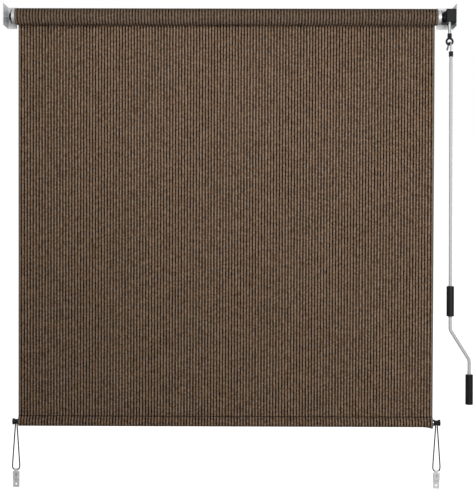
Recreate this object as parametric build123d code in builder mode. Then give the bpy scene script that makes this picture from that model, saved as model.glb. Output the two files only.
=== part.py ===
"""Outdoor roller shade with a crank gearbox, wall brackets and an elastic tie-down at each end of the hem.

Lengths are in millimetres. X runs along the roller, Y runs to the wall and Z runs up. The origin is in the
wall plane, at the height of the roller axis, midway between the wall screws.
"""
import os
from math import atan, cos, degrees, hypot, pi, radians, sin, tan

from build123d import *

os.makedirs("parts", exist_ok=True)

# Shade
fabric_width = 1400.0
fabric_thickness = 1.2
wound_turns = 3
rib_pitch = 10.0
rib_groove_depth = 0.35
rib_flank_share = 0.2
hem_drop = 1361.0  # from the roller axis down to the hem bar's axis
axis_to_wall = 42.0
lay_clearance = 0.2

# Roller tube
tube_diameter = 46.0
tube_wall = 1.2
tube_overhang = 17.0
seat_clearance = 0.02

# End plugs of the roller
plug_length = 42.0
plug_wall = 3.0
plug_floor = 6.0
plug_flange = 2.5
plug_hub_diameter = 23.0
plug_hub_length = 6.5
plug_rib_count = 6
plug_rib_thickness = 2.4

# Brackets
bracket_sheet = 2.0
bracket_bend = 2.0  # inside radius of the fold
bracket_depth = 75.0
bracket_top = 38.5
bracket_bottom = 33.0
bracket_free_gap = 9.5  # from the fabric's edge to the back plate's free edge
left_plate_gap = 39.6  # from the fabric's edge to the side plate
right_plate_gap = 64.0
wall_hole_diameter = 6.0
wall_hole_inset = 14.0
wall_hole_rise = 11.0

# Idler pin
pin_diameter = 8.0
pin_reach = 38.0  # from the side plate into the plug
pin_head_diameter = 14.0
pin_head_height = 2.5
running_clearance = 0.05

# Worm drive
wheel_teeth = 11
worm_pitch = 7.5
worm_pitch_radius = 6.5
worm_addendum = 2.2
worm_dedendum = 2.6
worm_length = 28.0
thread_share = 0.4
thread_root_sink = 0.3
flank_angle = 20.0
wheel_addendum = 1.5
wheel_gap_depth = 4.2
wheel_width = 10.0
wheel_hub_diameter = 20.0
wheel_hub_left = 15.0
wheel_hub_right = 9.0
worm_from_fabric = 43.5
drive_square = 10.0
drive_into_plug = 26.0

# Gearbox housing
housing_front = 11.5  # from the worm axis to the front face
housing_back = 26.0  # from the roller axis to the rear face
housing_top = 23.0
housing_bottom = 20.0
housing_left = 10.5  # from the worm axis to the left face
housing_round = 3.0
boss_diameter = 38.0
boss_length = 6.5
pilot_diameter = 24.0
pocket_clearance = 1.2
panel_recess = 0.8
panel_margin = 5.0
case_screw_diameter = 4.0
case_screw_head = 7.5
case_screw_head_height = 2.5
case_screw_length = 28.0
case_screw_back = 19.5  # from the roller axis towards the wall
case_screw_rise = 13.0

# Worm shaft and eye
top_journal_diameter = 7.0
top_journal_length = 4.0
shaft_diameter = 10.0
eye_drop = 94.75  # from the roller axis down to the middle of the eye's lowest wire
eye_radius = 10.25
eye_wire = 6.5
eye_wire_chamfer = 1.8
eye_neck_diameter = 14.5
eye_neck_top = 58.0  # below the roller axis
eye_neck_bottom = 73.0
eye_socket_floor = 5.0
eye_pin_diameter = 3.0
eye_pin_drop = 63.0

# Crank
hook_wire = 6.0
hook_radius = 9.0
hook_clearance = 0.35
hook_turn = 20.0  # angle of the hook's plane about the vertical
hook_tail = 10.0
hook_tail_bend = 9.0
hook_tail_angle = 35.0
hook_in_tube = 40.0
collar_diameter = 14.3
collar_top = 119.0
collar_bottom = 136.7
collar_round = 1.5
rod_diameter = 11.0
rod_wall = 1.2
rod_top_in_collar = 6.0
upper_grip_top = 898.0
lower_grip_top = 1191.0
grip_length = 100.0
grip_diameter = 25.0
grip_round = 2.0
grip_end_wall = 5.0
rod_end_gap = 1.0
bead_diameter = 13.4
bead_height = 3.0
bead_gap = 0.5
rod_bend_top = 1043.0
rod_bend_bottom = 1143.0
rod_bend_radius = 22.0
rod_offset = 63.4
crimp_depth = 0.6
crimp_width = 2.6
crimp_count = 2
crimp_gap = 8.0  # from the collar to the first crimp, and from one crimp to the next

# Hem
bar_diameter = 22.0
bar_wall = 1.2
bar_inset_left = 6.0  # from the fabric's edge in to the bar's left end
pocket_slack = 0.6
pocket_rise = 19.0  # from the bar's axis up to the seam
seam_thickness = 2.4

# End caps of the hem bar
cap_plug_length = 16.0
cap_flange = 4.0
cap_groove = 16.0
cap_waist_diameter = 16.0
cap_round = 1.2

# Elastic cords
cord_diameter = 4.2
cord_sink = 2.0
cord_top_spread = 2.4
cord_wide_spread = 12.2
cord_wide_drop = 147.0  # from the bar's axis
cord_bend_spread = 11.6
cord_bend_drop = 156.5
cord_turn_spread = 8.4
cord_turn_drop = 162.0
cord_low_drop = 162.3
cord_corner_share = 0.45

# Tie-down clips
clip_sheet = 1.5
clip_width = 21.2
clip_neck_width = 11.5
clip_neck_height = 11.0
clip_height = 64.5
clip_tongue = 35.0
clip_fold_clearance = 0.4
clip_slot_width = 6.0
clip_slot_length = 13.0
clip_slot_drop = 15.5
clip_hole_diameter = 6.0
clip_hole_rise = 11.0
clip_corner = 2.5

# Places that follow from the sizes above
half_width = fabric_width / 2
axis_y = -axis_to_wall
tube_end = half_width + tube_overhang
roll_inner_radius = tube_diameter / 2 + seat_clearance
roll_radius = tube_diameter / 2 + wound_turns * fabric_thickness
panel_y = axis_y + roll_radius - fabric_thickness / 2 + lay_clearance
seam_z = pocket_rise - hem_drop
worm_x = half_width + worm_from_fabric
wheel_pitch_radius = wheel_teeth * worm_pitch / (2 * pi)
worm_y = axis_y - wheel_pitch_radius - worm_pitch_radius
left_plate_x = -half_width - left_plate_gap
right_plate_x = half_width + right_plate_gap
wall_hole_x = half_width + bracket_free_gap + wall_hole_inset
eye_z = eye_radius - eye_drop
half_wire = eye_wire / 2
wire_flat = half_wire - eye_wire_chamfer
hook_drop = eye_drop + hook_radius - hook_wire / 2 - hypot(half_wire, wire_flat) - hook_clearance
rod_x = worm_x + hook_radius * sin(radians(hook_turn))
rod_y = worm_y - hook_radius * cos(radians(hook_turn))


def across(x, y, z=0.0):
    """The plane that faces along X at a point, with its own x to the wall and its own y up."""
    return Plane(origin=(x, y, z), x_dir=(0, 1, 0), z_dir=(1, 0, 0))


def level(x, y, z):
    """The plane that faces up at a point."""
    return Plane(origin=(x, y, z), x_dir=(1, 0, 0), z_dir=(0, 0, 1))


def finish(built, label):
    """Labels a finished sub-part and writes its file."""
    built.part.label = label
    export_step(built.part, "parts/" + label + ".step")


# The tube that the shade winds on
with BuildPart() as roller_tube:
    with BuildSketch(across(-tube_end, axis_y)):
        Circle(tube_diameter / 2)
        Circle(tube_diameter / 2 - tube_wall, mode=Mode.SUBTRACT)
    extrude(amount=2 * tube_end)
finish(roller_tube, "roller_tube")

# The turns on the tube are one solid. The outermost turn's edge shows as a step where the panel leaves it
with BuildPart() as fabric_roll:
    with BuildSketch(across(-half_width, axis_y)):
        with BuildLine():
            top_turn = CenterArc((fabric_thickness / 4, 0), roll_radius - fabric_thickness / 4, 0, 180)
            low_turn = CenterArc((-fabric_thickness / 4, 0), roll_radius - fabric_thickness * 3 / 4, 180, 180)
            Line(low_turn @ 1, top_turn @ 0)
        make_face()
        Circle(roll_inner_radius, mode=Mode.SUBTRACT)
    extrude(amount=fabric_width)
finish(fabric_roll, "fabric_roll")

# The hanging panel with a vertical rib on both faces at each knitted stripe
rib_count = round(fabric_width / rib_pitch)
rib_step = fabric_width / rib_count
rib_flank = rib_step * rib_flank_share
front_edge = []
back_edge = []
for rib in range(rib_count):
    rib_left = rib * rib_step - half_width
    for across_rib, sunk in ((0, True), (rib_flank, False), (rib_step - rib_flank, False)):
        half_wall = fabric_thickness / 2 - (rib_groove_depth if sunk else 0)
        front_edge.append((rib_left + across_rib, panel_y - half_wall))
        back_edge.append((rib_left + across_rib, panel_y + half_wall))
selvedge = fabric_thickness / 2 - rib_groove_depth
front_edge.append((half_width, panel_y - selvedge))
back_edge.append((half_width, panel_y + selvedge))
with BuildPart() as fabric_panel:
    with BuildSketch():
        with BuildLine():
            Polyline(*front_edge, *reversed(back_edge), close=True)
        make_face()
    extrude(amount=seam_z)
finish(fabric_panel, "fabric_panel")

# The hem pocket is a closed loop of fabric round the bar, drawn together at the seam
pocket_inner = bar_diameter / 2 + pocket_slack
pocket_outer = pocket_inner + fabric_thickness
seam_slope = degrees(atan((pocket_outer - seam_thickness / 2) / pocket_rise))
with BuildPart() as fabric_hem:
    with BuildSketch(across(-half_width, panel_y, -hem_drop)):
        Circle(pocket_outer)
        with BuildLine():
            shoulder_y = pocket_outer * cos(radians(seam_slope))
            shoulder_z = pocket_outer * sin(radians(seam_slope))
            Polyline(
                (-shoulder_y, shoulder_z),
                (-seam_thickness / 2, pocket_rise),
                (seam_thickness / 2, pocket_rise),
                (shoulder_y, shoulder_z),
                close=True,
            )
        make_face()
        Circle(pocket_inner, mode=Mode.SUBTRACT)
    extrude(amount=fabric_width)
finish(fabric_hem, "fabric_hem")

# The round bar in the hem sits a little to the right
bar_left = bar_inset_left - half_width
bar_right = half_width
with BuildPart() as hem_bar:
    with BuildSketch(across(bar_left, panel_y, -hem_drop)):
        Circle(bar_diameter / 2)
        Circle(bar_diameter / 2 - bar_wall, mode=Mode.SUBTRACT)
    extrude(amount=bar_right - bar_left)
finish(hem_bar, "hem_bar")


def hem_cap(face_x, side, label):
    """A waisted spool that plugs into the bar's end and holds the cord at its waist."""
    rim = bar_diameter / 2
    bar_bore = rim - bar_wall
    cap_length = 2 * cap_flange + cap_groove
    with BuildPart() as cap:
        with BuildSketch(Plane(origin=(face_x, panel_y, -hem_drop), x_dir=(side, 0, 0), z_dir=(0, -side, 0))):
            with BuildLine():
                waist = ThreePointArc(
                    (cap_flange, rim),
                    (cap_length / 2, cap_waist_diameter / 2),
                    (cap_length - cap_flange, rim),
                )
                Polyline(
                    waist @ 1,
                    (cap_length - cap_round, rim),
                    (cap_length, rim - cap_round),
                    (cap_length, 0),
                    (-cap_plug_length, 0),
                    (-cap_plug_length, bar_bore - cap_round),
                    (cap_round - cap_plug_length, bar_bore),
                    (0, bar_bore),
                    (0, rim),
                    waist @ 0,
                )
            make_face()
        revolve(axis=Axis((face_x, panel_y, -hem_drop), (1, 0, 0)))
    finish(cap, label)


hem_cap(bar_left, -1, "hem_cap_left")
hem_cap(bar_right, 1, "hem_cap_right")
cord_left_x = bar_left - cap_flange - cap_groove / 2
cord_right_x = bar_right + cap_flange + cap_groove / 2


def elastic_cord(middle_x, label):
    """A hanging loop of elastic cord from the cap's waist down through the fold of the clip."""
    start_drop = cap_waist_diameter / 2 - cord_sink
    half_route = [
        (cord_top_spread, start_drop),
        (cord_wide_spread, cord_wide_drop),
        (cord_bend_spread, cord_bend_drop),
        (cord_turn_spread, cord_turn_drop),
    ]
    route = [Vector(middle_x - spread, panel_y, -hem_drop - drop) for spread, drop in half_route]
    route.append(Vector(middle_x, panel_y, -hem_drop - cord_low_drop))
    route += [Vector(middle_x + spread, panel_y, -hem_drop - drop) for spread, drop in reversed(half_route)]
    radii = []
    for before, corner, after in zip(route, route[1:], route[2:]):
        turn = (corner - before).get_angle(after - corner)
        run = min((corner - before).length, (after - corner).length)
        radii.append(cord_corner_share * run / tan(radians(turn) / 2))
    print(label, "corner radii", [round(radius, 1) for radius in radii])
    with BuildPart() as cord:
        with BuildLine() as path:
            FilletPolyline(*route, radius=radii)
        with BuildSketch(Plane(origin=path.line @ 0, z_dir=path.line % 0)):
            Circle(cord_diameter / 2)
        sweep(path=path.line)
    swept_volume = pi * cord_diameter**2 / 4 * path.wires()[0].length
    print(label, "volume over section times length", round(cord.part.volume / swept_volume, 4))
    finish(cord, label)


elastic_cord(cord_left_x, "bungee_left")
elastic_cord(cord_right_x, "bungee_right")


def tie_clip(middle_x, label):
    """A strip folded over the cord: a long back with the screw hole, and a shorter tongue with a slot."""
    fold_inner = cord_diameter / 2 + clip_fold_clearance
    fold_outer = fold_inner + clip_sheet
    fold_z = -hem_drop - cord_low_drop + clip_fold_clearance
    top_z = fold_z + fold_outer
    with BuildPart() as clip:
        with BuildSketch(across(middle_x - clip_width / 2, panel_y, fold_z)):
            Circle(fold_outer)
            with Locations((fold_inner + clip_sheet / 2, 0)):
                Rectangle(clip_sheet, clip_height - fold_outer, align=(Align.CENTER, Align.MAX))
            with Locations((-fold_inner - clip_sheet / 2, 0)):
                Rectangle(clip_sheet, clip_tongue - fold_outer, align=(Align.CENTER, Align.MAX))
            Circle(fold_inner, mode=Mode.SUBTRACT)
            Rectangle(2 * fold_inner, clip_height, align=(Align.CENTER, Align.MAX), mode=Mode.SUBTRACT)
        extrude(amount=clip_width)
        low_edges = clip.edges().filter_by(Axis.Y).group_by(Axis.Z)[0]
        fillet(low_edges, clip_corner)
        tongue_edges = clip.edges().filter_by(Axis.Y).filter_by(
            lambda edge: abs(edge.center().Z - (top_z - clip_tongue)) < clip_sheet
        )
        fillet(tongue_edges, clip_corner)
        notch = (clip_width - clip_neck_width) / 2
        with BuildSketch(Plane(origin=(middle_x, panel_y, top_z), x_dir=(1, 0, 0), z_dir=(0, -1, 0))):
            with Locations((-clip_width / 2, 0), (clip_width / 2, 0)):
                Rectangle(2 * notch, 2 * clip_neck_height)
        extrude(amount=2 * fold_outer, both=True, mode=Mode.SUBTRACT)
        with BuildSketch(Plane(origin=(middle_x, panel_y, top_z), x_dir=(1, 0, 0), z_dir=(0, -1, 0))):
            with Locations((0, -clip_slot_drop - clip_slot_length / 2)):
                SlotOverall(clip_slot_length, clip_slot_width, rotation=90)
        extrude(amount=2 * fold_outer, mode=Mode.SUBTRACT)
        low_end = (middle_x, panel_y, top_z - clip_height)
        with BuildSketch(Plane(origin=low_end, x_dir=(1, 0, 0), z_dir=(0, 1, 0))):
            with Locations((0, -clip_hole_rise)):
                Circle(clip_hole_diameter / 2)
        extrude(amount=2 * fold_outer, mode=Mode.SUBTRACT)
    finish(clip, label)


tie_clip(cord_left_x, "tie_clip_left")
tie_clip(cord_right_x, "tie_clip_right")


def bracket(side, plate_x, label):
    """A folded sheet angle: the back plate lies on the wall, and the side plate carries the roller's end."""
    free_x = side * (half_width + bracket_free_gap)
    outer_x = plate_x + side * bracket_sheet
    height = bracket_top + bracket_bottom
    bend_outer = bracket_bend + bracket_sheet
    with BuildPart() as angle:
        with BuildSketch(level(0, 0, -bracket_bottom)):
            with BuildLine():
                Polyline(
                    (free_x, 0),
                    (outer_x, 0),
                    (outer_x, -bracket_depth),
                    (plate_x, -bracket_depth),
                    (plate_x, -bracket_sheet),
                    (free_x, -bracket_sheet),
                    close=True,
                )
            make_face()
        extrude(amount=height)
        upright = angle.edges().filter_by(Axis.Z)
        inside_fold = upright.sort_by_distance((plate_x, -bracket_sheet, 0))[0]
        fillet(inside_fold, bracket_bend)
        outside_fold = angle.edges().filter_by(Axis.Z).sort_by_distance((outer_x, 0, 0))[0]
        fillet(outside_fold, bend_outer)
        with BuildSketch(Plane.XZ):
            with Locations((side * wall_hole_x, wall_hole_rise), (side * wall_hole_x, -wall_hole_rise)):
                Circle(wall_hole_diameter / 2)
        extrude(amount=bracket_sheet, mode=Mode.SUBTRACT)
        with BuildSketch(across(plate_x, axis_y)):
            if side < 0:
                Circle(pin_diameter / 2)
            else:
                Circle(pilot_diameter / 2)
                with Locations((case_screw_back, case_screw_rise), (case_screw_back, -case_screw_rise)):
                    Circle(case_screw_diameter / 2)
        extrude(amount=side * bracket_sheet, mode=Mode.SUBTRACT)
    finish(angle, label)


bracket(-1, left_plate_x, "bracket_left")
bracket(1, right_plate_x, "bracket_right")

# The pin is riveted in the left side plate, and the idler plug turns on it
with BuildPart() as idler_pin:
    with BuildSketch(across(left_plate_x - bracket_sheet, axis_y)):
        Circle(pin_head_diameter / 2)
    extrude(amount=-pin_head_height)
    with BuildSketch(across(left_plate_x - bracket_sheet, axis_y)):
        Circle(pin_diameter / 2)
    extrude(amount=bracket_sheet + pin_reach)
    chamfer(idler_pin.edges().filter_by(GeomType.CIRCLE).sort_by(Axis.X)[0], pin_head_height / 3)
finish(idler_pin, "idler_pin")


def end_plug(side, round_bore, label):
    """A ribbed plug that seats in the tube's end, with a flange against the rim and a hub outside it."""
    plug_radius = tube_diameter / 2 - tube_wall
    with BuildPart() as plug:
        with BuildSketch(across(side * tube_end, axis_y)):
            Circle(plug_radius)
            Circle(plug_radius - plug_wall, mode=Mode.SUBTRACT)
            Circle(plug_hub_diameter / 2)
            with PolarLocations(0, plug_rib_count // 2):
                Rectangle(2 * plug_radius - plug_wall, plug_rib_thickness)
        extrude(amount=-side * plug_length)
        with BuildSketch(across(side * tube_end, axis_y)):
            Circle(plug_radius)
        extrude(amount=-side * plug_floor)
        with BuildSketch(across(side * tube_end, axis_y)):
            Circle(tube_diameter / 2)
        extrude(amount=side * plug_flange)
        with BuildSketch(across(side * (tube_end + plug_flange), axis_y)):
            Circle(plug_hub_diameter / 2)
        extrude(amount=side * plug_hub_length)
        with BuildSketch(across(side * (tube_end + plug_flange + plug_hub_length), axis_y)):
            if round_bore:
                Circle(pin_diameter / 2 + running_clearance)
            else:
                Rectangle(drive_square, drive_square)
        extrude(amount=-side * (plug_length + plug_flange + plug_hub_length), mode=Mode.SUBTRACT)
    finish(plug, label)


end_plug(-1, True, "idler_plug")
end_plug(1, False, "drive_plug")

# The worm wheel turns with the roller, and its hubs run in the housing
wheel_tip_radius = wheel_pitch_radius + wheel_addendum
lead_angle = degrees(atan(worm_pitch / (2 * pi * worm_pitch_radius)))
gap_bottom = wheel_tip_radius - wheel_gap_depth
gap_half = worm_pitch * (1 - thread_share) / 2
flank_slope = tan(radians(flank_angle))
with BuildPart() as tooth_gap:
    gap_tilt = (0, sin(radians(lead_angle)), cos(radians(lead_angle)))
    with BuildSketch(Plane(origin=(0, 0, 0), x_dir=(1, 0, 0), z_dir=gap_tilt)):
        with BuildLine():
            low_half = gap_half - (wheel_pitch_radius - gap_bottom) * flank_slope
            high_half = gap_half + 2 * wheel_addendum * flank_slope
            high = wheel_pitch_radius + 2 * wheel_addendum
            Polyline(
                (gap_bottom, -low_half),
                (high, -high_half),
                (high, high_half),
                (gap_bottom, low_half),
                close=True,
            )
        make_face()
    extrude(amount=wheel_width, both=True)

with BuildPart(across(worm_x, axis_y)) as worm_wheel:
    Cylinder(wheel_tip_radius, wheel_width)
    with PolarLocations(0, wheel_teeth, start_angle=180):
        add(tooth_gap.part, mode=Mode.SUBTRACT)
    with BuildSketch(across(worm_x - wheel_hub_left, axis_y)):
        Circle(wheel_hub_diameter / 2)
    extrude(amount=wheel_hub_left + wheel_hub_right)
    with BuildSketch(across(worm_x - wheel_hub_left, axis_y)):
        Rectangle(drive_square, drive_square)
    extrude(amount=wheel_hub_left + wheel_hub_right, mode=Mode.SUBTRACT)
finish(worm_wheel, "worm_wheel")

# The square shaft carries the wheel's turn into the drive plug
drive_end = worm_x + wheel_hub_right
drive_start = tube_end - drive_into_plug
with BuildPart() as drive_shaft:
    with BuildSketch(across(drive_start, axis_y)):
        Rectangle(drive_square, drive_square)
    extrude(amount=drive_end - drive_start)
finish(drive_shaft, "drive_shaft")

# The worm shaft: a single thread that meets the wheel's front, a top journal and a long lower end in the eye
thread_half = worm_pitch * thread_share / 2
thread_foot = worm_dedendum + thread_root_sink
core_radius = worm_pitch_radius - worm_dedendum
with BuildPart() as worm_shaft:
    thread_bottom = (round(worm_length / worm_pitch) + 0.5) * -worm_pitch / 2
    with BuildLine() as thread_line:
        Helix(
            pitch=worm_pitch,
            height=-2 * thread_bottom,
            radius=worm_pitch_radius,
            center=(worm_x, worm_y, thread_bottom),
        )
    with BuildSketch(Plane(origin=thread_line.line @ 0, x_dir=(1, 0, 0), z_dir=thread_line.line % 0)):
        with BuildLine():
            Polyline(
                (-thread_foot, -thread_half - thread_foot * flank_slope),
                (worm_addendum, -thread_half + worm_addendum * flank_slope),
                (worm_addendum, thread_half - worm_addendum * flank_slope),
                (-thread_foot, thread_half + thread_foot * flank_slope),
                close=True,
            )
        make_face()
    sweep(path=thread_line.line, is_frenet=True)
    with BuildSketch(level(worm_x, worm_y, -worm_length / 2)):
        Rectangle(worm_length, worm_length)
    extrude(amount=worm_length, mode=Mode.INTERSECT)
    with BuildSketch(level(worm_x, worm_y, -worm_length / 2)):
        Circle(core_radius)
    extrude(amount=worm_length)
    with BuildSketch(level(worm_x, worm_y, worm_length / 2)):
        Circle(top_journal_diameter / 2)
    extrude(amount=top_journal_length)
    with BuildSketch(level(worm_x, worm_y, -worm_length / 2)):
        Circle(shaft_diameter / 2)
    extrude(amount=worm_length / 2 + eye_socket_floor - eye_neck_bottom)
    with BuildSketch(Plane(origin=(worm_x, worm_y, -eye_pin_drop), x_dir=(0, 1, 0), z_dir=(1, 0, 0))):
        Circle(eye_pin_diameter / 2)
    extrude(amount=shaft_diameter, both=True, mode=Mode.SUBTRACT)
finish(worm_shaft, "worm_shaft")

# The gearbox housing is split through the worm axis
housing_x = worm_x - housing_left
front_y = worm_y - housing_front
back_y = axis_y + housing_back
pocket_radius = wheel_tip_radius + pocket_clearance
worm_pocket_radius = worm_pitch_radius + worm_addendum + pocket_clearance
journal_top = worm_length / 2 + top_journal_length
with BuildPart() as housing:
    with BuildSketch(across(housing_x, 0)):
        with Locations(((front_y + back_y) / 2, (housing_top - housing_bottom) / 2)):
            Rectangle(back_y - front_y, housing_top + housing_bottom)
    extrude(amount=right_plate_x - housing_x)
    fillet(housing.edges().filter_by(Axis.X), housing_round)
    fillet(housing.faces().sort_by(Axis.X)[0].edges(), housing_round / 2)
    with BuildSketch(across(housing_x, axis_y)):
        Circle(boss_diameter / 2)
    extrude(amount=-boss_length)
    with BuildSketch(across(right_plate_x, axis_y)):
        Circle(pilot_diameter / 2)
    extrude(amount=bracket_sheet)
    panel_middle = ((housing_x + right_plate_x) / 2, front_y, (housing_top - housing_bottom) / 2)
    with BuildSketch(Plane(origin=panel_middle, x_dir=(1, 0, 0), z_dir=(0, -1, 0))):
        RectangleRounded(
            right_plate_x - housing_x - 2 * panel_margin,
            housing_top + housing_bottom - 2 * panel_margin,
            housing_round,
        )
    extrude(amount=-panel_recess, mode=Mode.SUBTRACT)
    with BuildSketch(across(worm_x - wheel_width / 2 - pocket_clearance, axis_y)):
        Circle(pocket_radius)
    extrude(amount=wheel_width + 2 * pocket_clearance, mode=Mode.SUBTRACT)
    with BuildSketch(across(housing_x - boss_length, axis_y)):
        Circle(wheel_hub_diameter / 2 + running_clearance)
    extrude(amount=boss_length + housing_left + wheel_hub_right + pocket_clearance, mode=Mode.SUBTRACT)
    with BuildSketch(level(worm_x, worm_y, -worm_length / 2 - pocket_clearance)):
        Circle(worm_pocket_radius)
    extrude(amount=worm_length + 2 * pocket_clearance, mode=Mode.SUBTRACT)
    with BuildSketch(level(worm_x, worm_y, 0)):
        Circle(top_journal_diameter / 2 + running_clearance)
    extrude(amount=journal_top + pocket_clearance, mode=Mode.SUBTRACT)
    with BuildSketch(level(worm_x, worm_y, 0)):
        Circle(shaft_diameter / 2 + running_clearance)
    extrude(amount=-housing_bottom, mode=Mode.SUBTRACT)
    with BuildSketch(across(right_plate_x, axis_y)):
        with Locations((case_screw_back, case_screw_rise), (case_screw_back, -case_screw_rise)):
            Circle(case_screw_diameter / 2)
    extrude(amount=bracket_sheet - case_screw_length, mode=Mode.SUBTRACT)

with BuildPart() as gearbox_inner:
    add(housing.part)
    split(bisect_by=across(worm_x, axis_y), keep=Keep.BOTTOM)
finish(gearbox_inner, "gearbox_inner")

with BuildPart() as gearbox_outer:
    add(housing.part)
    split(bisect_by=across(worm_x, axis_y), keep=Keep.TOP)
finish(gearbox_outer, "gearbox_outer")

# Two screws hold the bracket and both housing halves together
with BuildPart() as gearbox_screws:
    with BuildSketch(across(right_plate_x + bracket_sheet, axis_y)):
        with Locations((case_screw_back, case_screw_rise), (case_screw_back, -case_screw_rise)):
            Circle(case_screw_head / 2)
    extrude(amount=case_screw_head_height)
    with BuildSketch(across(right_plate_x + bracket_sheet, axis_y)):
        with Locations((case_screw_back, case_screw_rise), (case_screw_back, -case_screw_rise)):
            Circle(case_screw_diameter / 2)
    extrude(amount=-case_screw_length)
    with BuildSketch(across(right_plate_x + bracket_sheet + case_screw_head_height, axis_y)):
        with Locations((case_screw_back, case_screw_rise), (case_screw_back, -case_screw_rise)):
            RegularPolygon(case_screw_diameter / 2, 6)
    extrude(amount=-case_screw_head_height / 2, mode=Mode.SUBTRACT)
finish(gearbox_screws, "gearbox_screws")

# The eye: a ring that faces forward, on a neck that is pinned to the worm shaft
with BuildPart() as crank_eye:
    with BuildSketch(level(worm_x, worm_y, eye_z)):
        with BuildLine():
            Polyline(
                (eye_radius - half_wire, -wire_flat),
                (eye_radius - wire_flat, -half_wire),
                (eye_radius + wire_flat, -half_wire),
                (eye_radius + half_wire, -wire_flat),
                (eye_radius + half_wire, wire_flat),
                (eye_radius + wire_flat, half_wire),
                (eye_radius - wire_flat, half_wire),
                (eye_radius - half_wire, wire_flat),
                close=True,
            )
        make_face()
    revolve(axis=Axis((worm_x, worm_y, eye_z), (0, 1, 0)))
    with BuildSketch(level(worm_x, worm_y, -eye_neck_top)):
        Circle(eye_neck_diameter / 2)
    extrude(amount=eye_neck_top - eye_neck_bottom)
    with BuildSketch(level(worm_x, worm_y, -eye_neck_top)):
        Circle(shaft_diameter / 2)
    extrude(amount=eye_neck_top + eye_socket_floor - eye_neck_bottom, mode=Mode.SUBTRACT)
    with BuildSketch(across(worm_x, worm_y, -eye_pin_drop)):
        Circle(eye_pin_diameter / 2)
    extrude(amount=eye_neck_diameter, both=True, mode=Mode.SUBTRACT)
finish(crank_eye, "crank_eye")

# The cross pin that holds the eye on the shaft
with BuildPart() as eye_pin:
    with BuildSketch(across(worm_x, worm_y, -eye_pin_drop)):
        Circle(eye_pin_diameter / 2)
    extrude(amount=eye_neck_diameter / 2, both=True)
finish(eye_pin, "eye_pin")

# The hook is one bent wire: a long leg into the rod, a half circle over the eye's wire and a flared tail
leg_x = sin(radians(hook_turn))
leg_y = -cos(radians(hook_turn))
hook_plane = Plane(origin=(worm_x, worm_y, -hook_drop), x_dir=(leg_x, leg_y, 0), z_dir=(leg_y, -leg_x, 0))
with BuildPart() as crank_hook:
    with BuildLine(hook_plane) as hook_line:
        Line((hook_radius, hook_drop - collar_bottom - hook_in_tube), (hook_radius, 0))
        crook = CenterArc((0, 0), hook_radius, 0, 180)
        flare = CenterArc((-hook_radius - hook_tail_bend, 0), hook_tail_bend, 0, -hook_tail_angle)
        tail_run = (-sin(radians(hook_tail_angle)) * hook_tail, -cos(radians(hook_tail_angle)) * hook_tail)
        flare_x = -hook_radius - hook_tail_bend + hook_tail_bend * cos(radians(hook_tail_angle))
        flare_z = -hook_tail_bend * sin(radians(hook_tail_angle))
        Line((flare_x, flare_z), (flare_x + tail_run[0], flare_z + tail_run[1]))
    with BuildSketch(level(rod_x, rod_y, -collar_bottom - hook_in_tube)):
        Circle(hook_wire / 2)
    sweep(path=hook_line.wires()[0])
finish(crank_hook, "crank_hook")

# The collar closes the rod's top end round the hook's leg
rod_top = collar_top + rod_top_in_collar
with BuildPart() as crank_collar:
    with BuildSketch(level(rod_x, rod_y, -collar_bottom)):
        Circle(collar_diameter / 2)
    extrude(amount=collar_bottom - collar_top)
    fillet(crank_collar.edges().filter_by(GeomType.CIRCLE), collar_round)
    with BuildSketch(level(rod_x, rod_y, -collar_bottom)):
        Circle(rod_diameter / 2)
    extrude(amount=collar_bottom - rod_top, mode=Mode.SUBTRACT)
    with BuildSketch(level(rod_x, rod_y, -collar_bottom)):
        Circle(hook_wire / 2)
    extrude(amount=collar_bottom - collar_top, mode=Mode.SUBTRACT)
finish(crank_collar, "crank_collar")

# The rod is a bent tube, crimped round the hook's leg below the collar. Rolled beads keep the grips in place
rod_bottom = lower_grip_top + grip_length - grip_end_wall - rod_end_gap
bead_tops = (
    (rod_x, upper_grip_top - bead_gap),
    (rod_x, upper_grip_top + grip_length + bead_gap + bead_height),
    (rod_x + rod_offset, lower_grip_top - bead_gap),
)
with BuildPart() as crank_rod:
    with BuildLine() as rod_line:
        FilletPolyline(
            (rod_x, rod_y, -rod_top),
            (rod_x, rod_y, -rod_bend_top),
            (rod_x + rod_offset, rod_y, -rod_bend_bottom),
            (rod_x + rod_offset, rod_y, -rod_bottom),
            radius=rod_bend_radius,
        )
    with BuildSketch(Plane(origin=(rod_x, rod_y, -rod_top), z_dir=(0, 0, -1))):
        Circle(rod_diameter / 2)
        Circle(rod_diameter / 2 - rod_wall, mode=Mode.SUBTRACT)
    sweep(path=rod_line.line)
    for bead_x, bead_drop in bead_tops:
        with BuildSketch(level(bead_x, rod_y, -bead_drop)):
            Circle(bead_diameter / 2)
            Circle(rod_diameter / 2 - rod_wall, mode=Mode.SUBTRACT)
        extrude(amount=bead_height)
    for crimp in range(crimp_count):
        with BuildSketch(level(rod_x, rod_y, -collar_bottom - (crimp + 1) * crimp_gap)):
            Circle(rod_diameter / 2)
            Circle(rod_diameter / 2 - crimp_depth, mode=Mode.SUBTRACT)
        extrude(amount=-crimp_width, mode=Mode.SUBTRACT)
finish(crank_rod, "crank_rod")


def grip(middle_x, top, closed, label):
    """A loose plastic sleeve on the rod."""
    with BuildPart() as sleeve:
        with BuildSketch(level(middle_x, rod_y, -top)):
            Circle(grip_diameter / 2)
        extrude(amount=-grip_length)
        fillet(sleeve.edges().filter_by(GeomType.CIRCLE), grip_round)
        with BuildSketch(level(middle_x, rod_y, -top)):
            Circle(rod_diameter / 2 + running_clearance)
        extrude(amount=grip_end_wall - grip_length if closed else -grip_length, mode=Mode.SUBTRACT)
    finish(sleeve, label)


grip(rod_x, upper_grip_top, False, "upper_grip")
grip(rod_x + rod_offset, lower_grip_top, True, "lower_grip")
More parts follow.
